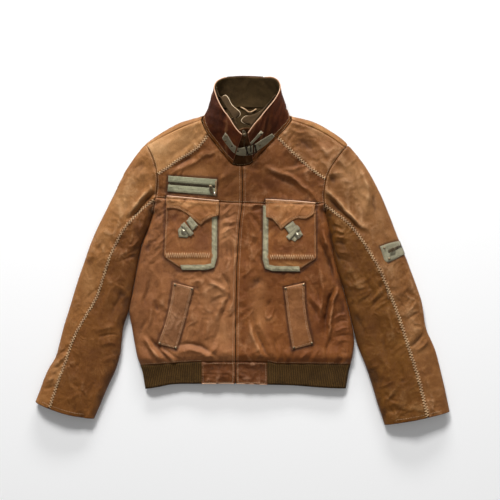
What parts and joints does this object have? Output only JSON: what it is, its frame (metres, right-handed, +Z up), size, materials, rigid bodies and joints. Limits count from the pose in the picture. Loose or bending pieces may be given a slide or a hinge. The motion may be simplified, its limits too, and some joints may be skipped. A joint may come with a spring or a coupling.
{
  "type": "leather jacket",
  "caption": "Worn brown leather blouson laid flat: stand collar fastened by a strap, patch pockets, laced sleeve seams, knit hem band.",
  "frame": {"origin": "middle of the laid jacket's outline, on the surface it lies on", "axes": "+X across the jacket from sleeve to sleeve, towards the wearer's left; +Y from the hem to the collar; +Z up out of the front"},
  "size_m": [1.01, 0.85, 0.068],
  "materials": {
    "leather": "worn, creased, semi-matt",
    "tan": "worn, rubbed lighter, semi-matt",
    "dark_leather": "dark, worn at the edges",
    "canvas": "faded sage canvas",
    "strap": "grey-green webbing",
    "knit": "dark ribbed knit",
    "metal": "dulled dark metal"
  },
  "bodies": {
    "jacket": {"yoke_right": "tan", "chest_right": "leather", "front_right": "leather", "yoke_left": "tan", "chest_left": "leather", "front_left": "leather", "back_panel": "leather", "sleeve_upper_right": "tan", "sleeve_under_right": "tan", "sleeve_upper_back_left": "tan", "sleeve_upper_left": "tan", "sleeve_under_left": "tan", "sleeve_under_back_left": "tan", "hem_rib": "knit", "hem_tab_right": "leather", "hem_tab_left": "leather", "front_zip_tape": "knit", "collar_shell": "dark_leather", "collar_lining": "knit", "collar_placket": "knit", "inner_collar_right": "knit", "inner_collar_left": "knit", "hanger_loop": "canvas", "collar_strap_right": "strap", "collar_strap_left": "strap", "collar_strap_end": "strap", "collar_buckle": "metal", "strap_rivet_1": "metal", "strap_rivet_2": "metal", "strap_rivet_3": "metal", "pocket_right": "leather", "pocket_binding_right": "canvas", "pocket_left": "leather", "pocket_binding_left": "canvas", "pocket_flap_right": "leather", "pocket_flap_left": "leather", "pocket_tab_right": "canvas", "pocket_tab_end_right": "canvas", "pocket_tab_bar_right": "canvas", "pocket_tab_left": "canvas", "pocket_tab_end_left": "canvas", "pocket_tab_bar_left": "canvas", "pocket_snap_right": "metal", "pocket_snap_left": "metal", "patch_upper_right": "canvas", "patch_lower_right": "canvas", "patch_zip_slider": "metal", "patch_snap": "metal", "welt_right": "leather", "welt_left": "leather", "sleeve_patch": "canvas", "sleeve_zip_slider": "metal", "sleeve_rivet_1": "metal", "sleeve_rivet_2": "metal", "front_zip_slider": "metal"},
    "patch_zip_pull": {"patch_zip_pull": "metal"},
    "sleeve_zip_pull": {"sleeve_zip_pull": "metal"},
    "front_zip_pull": {"front_zip_pull": "metal"}
  },
  "joints": [
    {"name": "patch_zip_pull_swing", "type": "hinge", "parent": "jacket", "child": "patch_zip_pull", "pos_m": [-0.07675, 0.15555, 0.02442], "axis": [-0.9831, -0.1653, -0.0782], "range_deg": [0, 140]},
    {"name": "sleeve_zip_pull_swing", "type": "hinge", "parent": "jacket", "child": "sleeve_zip_pull", "pos_m": [0.36618, 0.00419, 0.029], "axis": [-0.4506, 0.8927, 0.0075], "range_deg": [0, 140]},
    {"name": "front_zip_pull_swing", "type": "hinge", "parent": "jacket", "child": "front_zip_pull", "pos_m": [0.00576, 0.27766, 0.06175], "axis": [0.9642, 0.232, 0.1285], "range_deg": [0, 100]}
  ]
}
